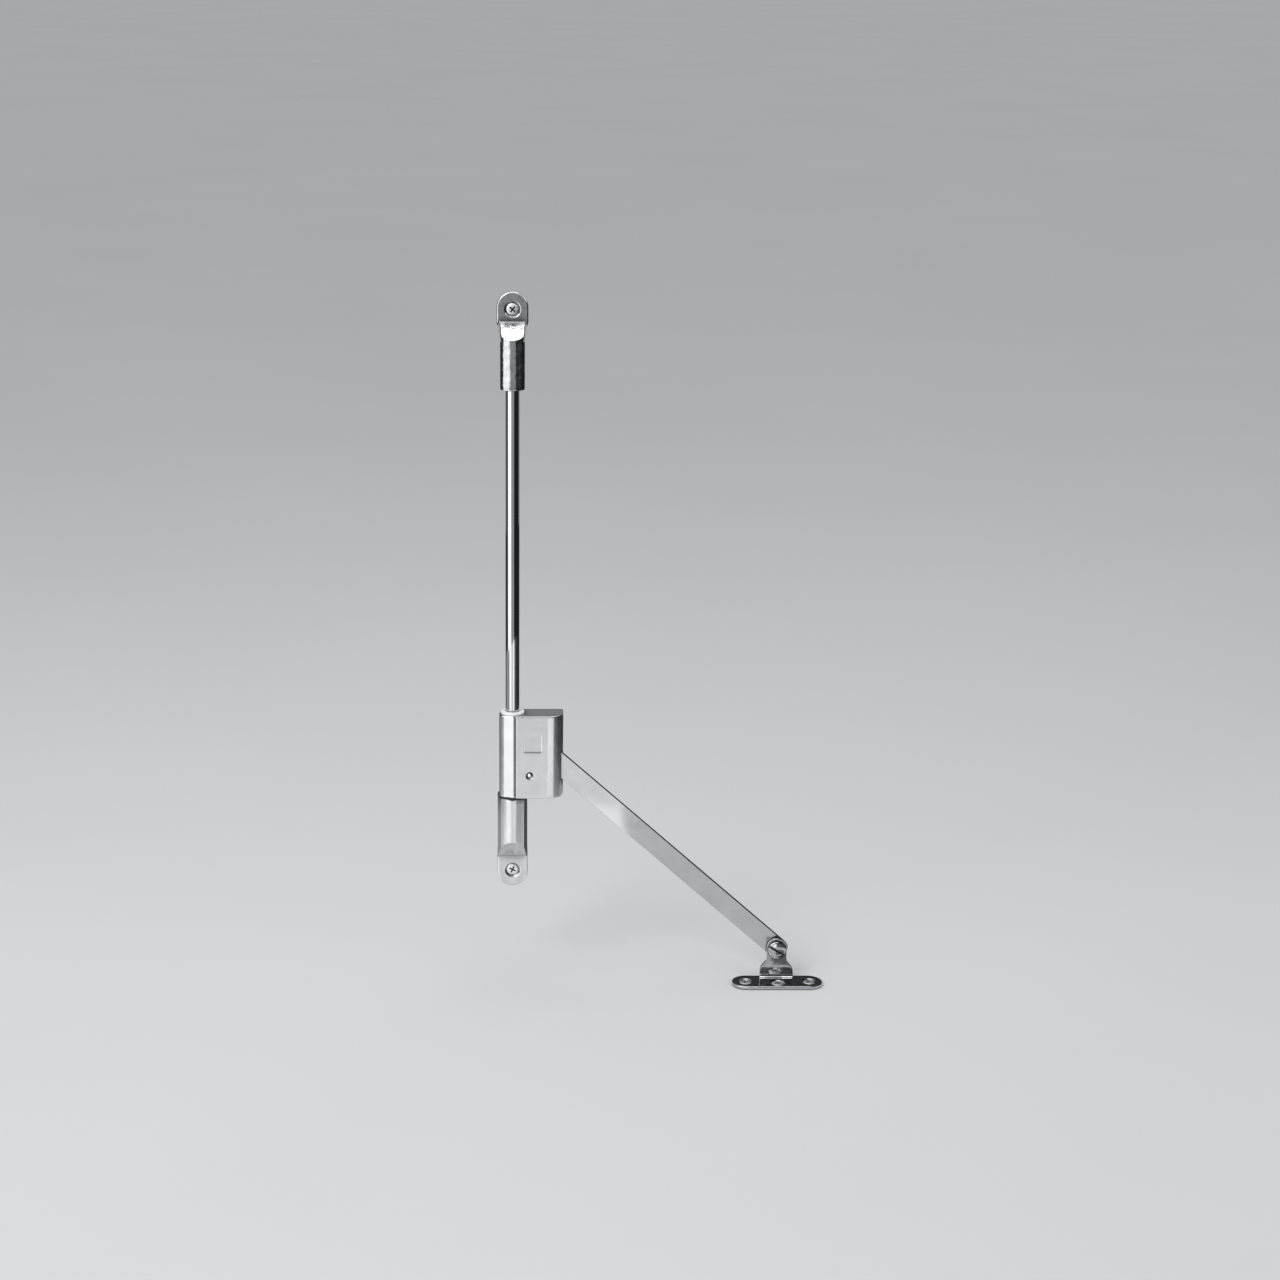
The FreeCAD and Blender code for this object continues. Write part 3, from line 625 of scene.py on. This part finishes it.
head_front = pivot_low.y / MM
shank_end = pivot_high.y / MM
ear_front = head_front + PIVOT_HEAD_THICK
arm_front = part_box("strap_arm")[0].y / MM


def machine_thread(crest, core, pitch, start, end):
    """Swell function of a V thread between two heights."""
    def swell(radius, height, angle):
        if not start < height < end:
            return radius
        phase = ((height - start) / pitch - angle / (2 * math.pi)) % 1.0
        return min(radius, core + (crest - core) * (1 - abs(2 * phase - 1)))
    return swell


def slot_cutter(face, half_length, width, depth, lean):
    """Straight slot across a head that faces the viewer."""
    bm = bmesh.new()
    bmesh.ops.create_cube(bm, size=1)
    bmesh.ops.scale(bm, verts=bm.verts, vec=(2 * half_length * MM, 2 * depth * MM, width * MM))
    bmesh.ops.rotate(bm, verts=bm.verts, cent=(0, 0, 0), matrix=Matrix.Rotation(lean, 3, "Y"))
    bmesh.ops.translate(bm, verts=bm.verts, vec=face)
    return add_object("slot", mesh_from(bm, "slot"))


dome = [(pivot_head_r * k / PIVOT_DOME_STEPS,
         head_front + PIVOT_DOME * (k / PIVOT_DOME_STEPS) ** PIVOT_DOME_POWER, 0)
        for k in range(PIVOT_DOME_STEPS)]
thread_rows = [(PIVOT_THREAD_R, arm_front + 0.4 + k * PIVOT_PITCH / PIVOT_ROWS_PER_TURN, 0)
               for k in range(int((shank_end - arm_front - 0.9) / (PIVOT_PITCH / PIVOT_ROWS_PER_TURN)))]
pivot_core = PIVOT_THREAD_R - PIVOT_THREAD_DEEP
pivot_mesh = turned_mesh("pivot_screw", [
    *dome, (pivot_head_r, head_front + PIVOT_RIM, 0.3),
    (pivot_head_r, ear_front, 0.2), (PIVOT_SHOULDER_R, ear_front, 0),
    (PIVOT_SHOULDER_R, arm_front, 0), (PIVOT_THREAD_R, arm_front, 0), *thread_rows,
    (pivot_core, shank_end, 0), (0, shank_end, 0)],
    pivot_axis, "Y", segments=96, steps=6,
    swell=machine_thread(PIVOT_THREAD_R, pivot_core, PIVOT_PITCH, arm_front + PIVOT_PLAIN,
                         shank_end - 0.1))
pivot_screw = add_object("pivot_screw", pivot_mesh)
carve(pivot_screw, [slot_cutter(pivot_axis + Vector((0, pivot_low.y, 0)), PIVOT_SLOT_HALF,
                                PIVOT_SLOT_WIDE, PIVOT_SLOT_DEEP, PIVOT_SLOT_LEAN)])
stands_for(pivot_screw, "foot_pivot_screw")

washer_low, washer_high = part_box("foot_pivot_washer")
washer_r = (washer_high.x - washer_low.x) / 2 / MM
washer = turned_mesh("pivot_washer", [
    (PIVOT_THREAD_R, washer_low.y / MM, 0.05), (washer_r, washer_low.y / MM, 0.2),
    (washer_r, washer_high.y / MM, 0.08), (PIVOT_THREAD_R, washer_high.y / MM, 0.05)],
    pivot_axis, "Y", closed=True, segments=96)
stands_for(add_object("pivot_washer", washer), "foot_pivot_washer")


NUT_ROWS = 28
NUT_TURNED_OFF = 0.5
NUT_SINK = 0.3


def hexagon_nut(name, axis, low, high, corner_r):
    """Hexagon nut about Y whose corners are turned off at both ends, with a countersunk bore."""
    flat_r = corner_r * math.cos(math.pi / 6)

    def swell(radius, height, angle):
        if radius < flat_r:
            return radius
        hexagon = flat_r / math.cos(angle % (math.pi / 3) - math.pi / 6)
        from_end = min(height - low, high - height)
        return min(hexagon, flat_r - 0.1 + from_end * (corner_r - flat_r + 0.1) / NUT_TURNED_OFF)

    rows = [low + (high - low) * k / NUT_ROWS for k in range(NUT_ROWS + 1)]
    corners = [(PIVOT_THREAD_R - 0.02, low + NUT_SINK, 0), (PIVOT_THREAD_R + NUT_SINK, low, 0),
               *[(corner_r, row, 0) for row in rows],
               (PIVOT_THREAD_R + NUT_SINK, high, 0), (PIVOT_THREAD_R - 0.02, high - NUT_SINK, 0)]
    mesh = turned_mesh(name, corners, axis, "Y", closed=True, segments=144, swell=swell)
    smooth_but_for(mesh, 20)
    return add_object(name, mesh)


nut_low, nut_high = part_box("foot_pivot_nut")
nut_corner_r = (nut_high.x - nut_low.x) / 2 / MM
nut = hexagon_nut("pivot_nut", pivot_axis, nut_low.y / MM, nut_high.y / MM, nut_corner_r)
stands_for(nut, "foot_pivot_nut")

# Back cover rivets and the brake pin
rivets = []
rivet_low, rivet_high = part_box("cover_rivets")
RIVET_HEAD_R = 2.1
RIVET_HEAD_HIGH = 0.7
RIVET_R = 1.2
UPPER_LEFT_SHIFT = 0.4
rivet_left = rivet_low.x / MM + RIVET_HEAD_R
rivet_right = rivet_high.x / MM - RIVET_HEAD_R
rivet_top = rivet_high.y / MM
cover_back = rivet_top - RIVET_HEAD_HIGH
for number, (x, z) in enumerate(((rivet_left + UPPER_LEFT_SHIFT, rivet_high.z / MM - RIVET_HEAD_R),
                                 (rivet_right, rivet_high.z / MM - RIVET_HEAD_R),
                                 (rivet_left, rivet_low.z / MM + RIVET_HEAD_R))):
    rivet = turned_mesh(f"rivet_{number}", [
        (0, rivet_top, 0), (0.7, rivet_top, 1.5), (1.7, cover_back + 0.42, 0.8),
        (RIVET_HEAD_R, cover_back + 0.12, 0.05), (RIVET_HEAD_R, cover_back, 0.03),
        (RIVET_R, cover_back, 0), (RIVET_R, rivet_low.y / MM, 0.2), (0, rivet_low.y / MM, 0)],
        Vector((x * MM, 0, z * MM)), "Y", segments=64)
    rivets.append(add_object(f"rivet_{number}", rivet))
stands_for(joined("back_rivets", rivets), "cover_rivets")

pin_low, pin_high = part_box("brake_pin")
pin_r = (pin_high.x - pin_low.x) / 2 / MM
pin_front = pin_low.y / MM
pin_back = pin_high.y / MM
pin_mesh = turned_mesh("peened_pin", [
    (0, pin_front, 0), (0.5, pin_front + 0.04, 1.2), (pin_r - 0.1, pin_front + 0.45, 0.3),
    (pin_r, pin_front + 0.8, 0.2), (pin_r, pin_back, 0.1), (0, pin_back, 0)],
    middle("brake_pin", "X", "Z"), "Y", segments=64)
stands_for(add_object("peened_pin", pin_mesh), "brake_pin")


# ---------------------------------------------------------------- CAD nodes that stay

for node_name, node_object in frame["nodes"].items():
    if node_object.hide_render:
        continue
    node_object.data.materials.clear()
    node_object.data.materials.append(FINISHES[SLOT_OF[node_name]])


# ---------------------------------------------------------------- floor, light, camera

FLOOR_DARK = (0.57, 0.57, 0.575)
FLOOR_PALE = (0.585, 0.585, 0.59)
FLOOR_SIZE = 30


def pale_floor(height):
    finish = Finish("floor_paint", 0.0)
    clouds = finish.noise(0.35)
    fine = finish.noise(0.002)
    colour = finish.mix_colour(finish.ranged(clouds, 0.0, 1.0), FLOOR_DARK, FLOOR_PALE)
    finish.shader.inputs["Specular IOR Level"].default_value = 0.0
    finish.bumps((fine, 0.00002))
    material = finish.done(colour, finish.ranged(fine, 0.55, 0.7))
    bm = bmesh.new()
    bmesh.ops.create_grid(bm, x_segments=8, y_segments=8, size=FLOOR_SIZE)
    floor = add_object("floor", mesh_from(bm, "floor"))
    floor.data.transform(Matrix.Translation((0, 0, height)))
    floor.data.materials.append(material)


def area_light(name, place, aim, width, height, power):
    data = bpy.data.lights.new(name, "AREA")
    data.shape = "RECTANGLE"
    data.size = width
    data.size_y = height
    data.energy = power
    lamp = bpy.data.objects.new(name, data)
    bpy.context.scene.collection.objects.link(lamp)
    lamp.location = place
    lamp.rotation_mode = "QUATERNION"
    lamp.rotation_quaternion = (Vector(aim) - Vector(place)).to_track_quat("-Z", "Y")


def pale_world(strength):
    world = bpy.data.worlds.new("studio")
    world.use_nodes = True
    background = world.node_tree.nodes["Background"]
    background.inputs["Color"].default_value = (0.93, 0.94, 0.96, 1)
    background.inputs["Strength"].default_value = strength
    bpy.context.scene.world = world


def reflection_only(card, brightness):
    """Makes a card that only shows in reflections, glowing evenly."""
    material = bpy.data.materials.new(card.name)
    material.use_nodes = True
    nodes = material.node_tree.nodes
    nodes.remove(nodes["Principled BSDF"])
    glow = nodes.new("ShaderNodeEmission")
    glow.inputs["Color"].default_value = (0.98, 0.99, 1.0, 1)
    glow.inputs["Strength"].default_value = brightness
    material.node_tree.links.new(glow.outputs["Emission"], nodes["Material Output"].inputs["Surface"])
    card.data.materials.append(material)
    card.visible_camera = False
    card.visible_diffuse = False
    card.visible_shadow = False
    card.visible_transmission = False
    card.visible_volume_scatter = False


def ring_card(name, turn_from, turn_to, low, high, brightness):
    """Upright card, part of a ring round the rod; turns in degrees, zero in front, plus to the right."""
    bm = bmesh.new()
    steps = 12
    columns = []
    for k in range(steps + 1):
        turn = math.radians(turn_from + (turn_to - turn_from) * k / steps)
        foot = RING_CENTRE + Vector((math.sin(turn), -math.cos(turn), 0)) * RING_R
        columns.append([bm.verts.new(foot + Vector((0, 0, z))) for z in (low, high)])
    for left, right in zip(columns, columns[1:]):
        bm.faces.new([left[0], right[0], right[1], left[1]])
    reflection_only(add_object(name, mesh_from(bm, name)), brightness)


def floor_card(name, left, right, front, back, lift, brightness):
    """Level card a little above the floor."""
    corners = ((left, front), (right, front), (right, back), (left, back))
    bm = bmesh.new()
    bm.faces.new([bm.verts.new((x, y, floor_z + lift)) for x, y in corners])
    reflection_only(add_object(name, mesh_from(bm, name)), brightness)


floor_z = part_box("foot_bracket")[0].z
object_middle = (cad_box[0] + cad_box[1]) / 2
RING_CENTRE = Vector((0.02, -0.01, 0))
RING_R = 0.32

pale_floor(floor_z)
pale_world(0.72)
area_light("key", (-0.9, -1.1, 1.1), object_middle, 0.9, 0.9, 16)
area_light("overhead", (0.05, 0.05, 0.95), (0.05, 0, 0), 0.7, 0.7, 2.6)
area_light("fill", (1.3, -0.9, 0.5), object_middle, 0.7, 1.0, 3)

UPPER_LOW = -0.12
BACK_LOW = -0.03
CARD_TOP = 0.25
for card_name, turn_from, turn_to, low, high, brightness in (
        ("upper_left_dark", -120, -80, UPPER_LOW, CARD_TOP, 0.03),
        ("upper_white", -80, -25, UPPER_LOW, CARD_TOP, 1.35),
        ("upper_grey", -25, 22, UPPER_LOW, CARD_TOP, 0.30),
        ("upper_right_dark", 22, 120, UPPER_LOW, CARD_TOP, 0.015),
        ("housing_left_grey", -120, -54, floor_z, UPPER_LOW, 0.32),
        ("housing_white", -54, -22, floor_z, UPPER_LOW, 1.25),
        ("housing_face", -22, 12, floor_z, UPPER_LOW, 0.74),
        ("housing_band", 12, 27, floor_z, UPPER_LOW, 1.3),
        ("housing_nose", 27, 60, floor_z, UPPER_LOW, 0.11),
        ("housing_right_dark", 60, 120, floor_z, UPPER_LOW, 0.03),
        ("back_grey", 120, 240, BACK_LOW, CARD_TOP, 0.22),
        ("back_dark", 120, 240, floor_z, BACK_LOW, 0.045)):
    ring_card(card_name, turn_from, turn_to, low, high, brightness)
STRAP_SPLIT_X = 0.078
for card_name, left, right, front, back, lift, brightness in (
        ("low_left_white", -0.30, -0.03, -0.32, -0.05, 0.0010, 1.1),
        ("pad_light", -0.03, 0.022, -0.32, -0.05, 0.0010, 0.66),
        ("strap_white", 0.022, STRAP_SPLIT_X, -0.32, -0.05, 0.0010, 1.0),
        ("strap_grey", STRAP_SPLIT_X, 0.24, -0.32, -0.035, 0.0010, 0.52),
        ("ear_dark", 0.158, 0.19, -0.074, -0.035, 0.0015, 0.14),
        ("ramp_shade", -0.04, 0.04, 0.015, 0.06, 0.0010, 0.02),
        ("flank_dark", 0.0, 0.20, 0.07, 0.36, 0.0010, 0.06),
        ("flank_grey", -0.20, 0.0, 0.07, 0.36, 0.0010, 0.32)):
    floor_card(card_name, left, right, front, back, lift, brightness)

CAMERA_PITCH = math.radians(16)
CAMERA_LENS = 72.8
CAMERA_BACK = 1.5
AIM_Y = -0.010
AIM_Z = -0.0231
ROD_SHARE = 0.4004

camera_data = bpy.data.cameras.new("camera")
camera_data.sensor_width = 36
camera_data.lens = CAMERA_LENS
camera_data.shift_x = 0.5 - ROD_SHARE
camera_data.clip_start = 0.05
camera_data.clip_end = 100
camera = bpy.data.objects.new("camera", camera_data)
bpy.context.scene.collection.objects.link(camera)
aim_point = Vector((rod_axis.x, AIM_Y, AIM_Z))
look = Vector((0, math.cos(CAMERA_PITCH), -math.sin(CAMERA_PITCH)))
camera.location = aim_point - look * CAMERA_BACK
camera.rotation_mode = "QUATERNION"
camera.rotation_quaternion = look.to_track_quat("-Z", "Y")
bpy.context.scene.camera = camera
bpy.context.scene.view_settings.view_transform = "Standard"
